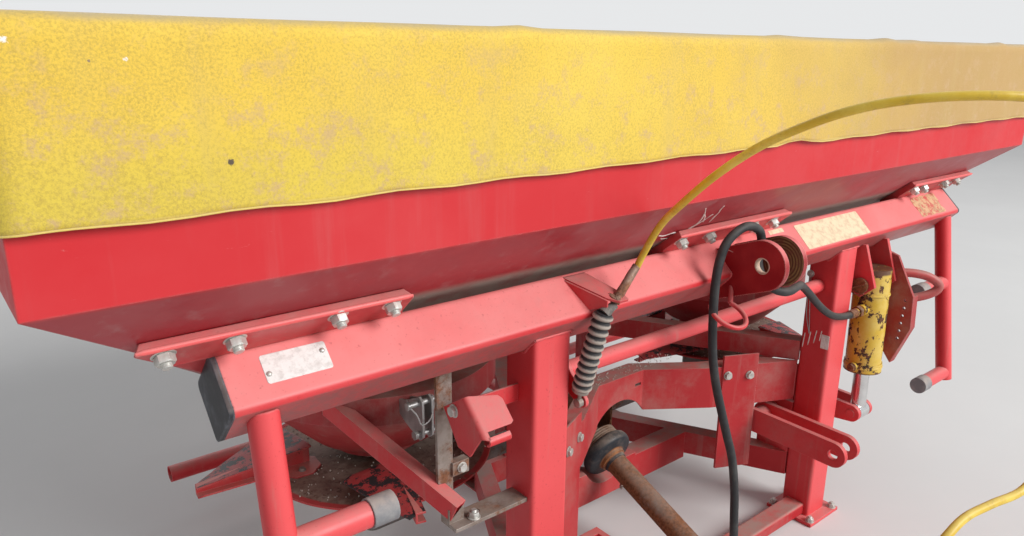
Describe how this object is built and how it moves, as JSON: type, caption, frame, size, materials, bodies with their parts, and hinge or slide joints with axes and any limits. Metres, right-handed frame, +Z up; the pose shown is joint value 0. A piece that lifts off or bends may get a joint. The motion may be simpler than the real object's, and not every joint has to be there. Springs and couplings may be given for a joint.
{
  "type": "mounted twin disc fertiliser spreader",
  "caption": "Tractor mounted fertiliser spreader: wide hopper with a hinged cloth cover on a diamond beam, spinning discs with vanes, tilt cylinder, three point hitch.",
  "frame": {"origin": "on the floor, in the plane of the two disc axles, midway between them", "axes": "+X across to the right when looking from the tractor back at the machine, +Y back from the tractor, +Z up"},
  "size_m": [2.852, 1.9111, 1.402],
  "materials": {
    "red_paint": "semi gloss red paint, faded, dusty and chipped",
    "cover_cloth": "faded yellow coated cloth, dirty",
    "black_plastic": "matte black plastic, dusty",
    "yellow_paint": "yellow paint, chipped down to rust",
    "rusty_steel": "rusty bare steel",
    "dusty_steel": "steel under dried fertiliser dust",
    "chrome_rod": "hard chromed rod",
    "frame_steel": "grey painted tube",
    "gearbox_paint": "dark cast housing",
    "bell_rubber": "blue black guard, rusty at its ribs",
    "hose_rubber": "black hydraulic hose",
    "cable_sheath": "yellow cable sheath",
    "bellows_rubber": "grey ribbed bellows",
    "coupler_steel": "worn steel coupler"
  },
  "bodies": {
    "frame_body": {"beam": "red_paint", "beam_caps": "black_plastic", "post_left": "red_paint", "post_right": "red_paint", "top_link_ears": "red_paint", "hose_hook": "red_paint", "hopper": "red_paint", "hopper_strips": "red_paint", "bowl_left": "red_paint", "bowl_right": "red_paint", "hinge_leaves": "red_paint", "under_frame": "red_paint", "centre_frame": "red_paint", "rear_rail": "red_paint", "gearbox": "gearbox_paint", "shaft_guard": "bell_rubber", "shaft_hood": "rusty_steel", "disc_gearbox_left": "gearbox_paint", "disc_gearbox_right": "gearbox_paint", "link_bracket_left": "red_paint", "rock_bearings": "red_paint", "cylinder_bracket": "red_paint", "sector_plate": "red_paint", "guide_loop": "red_paint", "dosing_shaft": "red_paint", "boarding_steps": "red_paint", "step_caps": "black_plastic", "guard_band": "red_paint", "cable_tab": "red_paint", "cable_sleeve": "dusty_steel", "bellows": "bellows_rubber", "coupling_holder": "red_paint", "rate_lever": "dusty_steel", "post_bracket": "red_paint", "brace": "red_paint", "hose": "hose_rubber", "hose_coil": "hose_rubber", "hose_coupler": "coupler_steel", "cable": "cable_sheath", "cable_coil": "cable_sheath", "cable_end": "black_plastic"},
    "cover_body": {"cover": "cover_cloth", "cover_frame": "frame_steel", "hinge_flaps": "frame_steel"},
    "disc_left_body": {"disc_left": "dusty_steel", "vanes_left": "red_paint"},
    "disc_right_body": {"disc_right": "dusty_steel", "vanes_right": "red_paint"},
    "shaft_body": {"drive_shaft": "rusty_steel", "shaft_bell": "bell_rubber"},
    "tilt_body": {"tilt_arm": "red_paint"},
    "barrel_body": {"cylinder_barrel": "yellow_paint"},
    "rod_body": {"cylinder_rod": "chrome_rod"}
  },
  "joints": [
    {"name": "cover_hinge", "type": "hinge", "parent": "frame_body", "child": "cover_body", "pos_m": [0, 0.648, 1.185], "axis": [-1, 0, 0], "range_deg": [0, 85]},
    {"name": "disc_left_spin", "type": "hinge", "parent": "frame_body", "child": "disc_left_body", "pos_m": [-0.665, 0, 0.43], "axis": [0, 0, 1], "continuous": true},
    {"name": "disc_right_spin", "type": "hinge", "parent": "frame_body", "child": "disc_right_body", "pos_m": [0.665, 0, 0.43], "axis": [0, 0, 1], "continuous": true},
    {"name": "shaft_swing", "type": "hinge", "parent": "frame_body", "child": "shaft_body", "pos_m": [0, -0.052, 0.286], "axis": [-1, 0, 0], "range_deg": [0, 28]},
    {"name": "tilt_arm_turn", "type": "hinge", "parent": "frame_body", "child": "tilt_body", "pos_m": [0, -0.365, 0.312], "axis": [1, 0, 0], "range_deg": [0, 12]},
    {"name": "barrel_swing", "type": "hinge", "parent": "frame_body", "child": "barrel_body", "pos_m": [0.694, -0.528, 0.73], "axis": [1, 0, 0], "range_deg": [0, 1]},
    {"name": "rod_slide", "type": "slide", "parent": "barrel_body", "child": "rod_body", "axis": [0, -0.0244, -0.9997], "range_m": [0, 0.037]}
  ],
  "couplings": [
    {"joint": "disc_right_spin", "follows": "disc_left_spin", "ratio": -1},
    {"joint": "barrel_swing", "follows": "tilt_arm_turn", "ratio": 0.03208},
    {"joint": "rod_slide", "follows": "tilt_arm_turn", "m_per_rad": 0.17232}
  ]
}
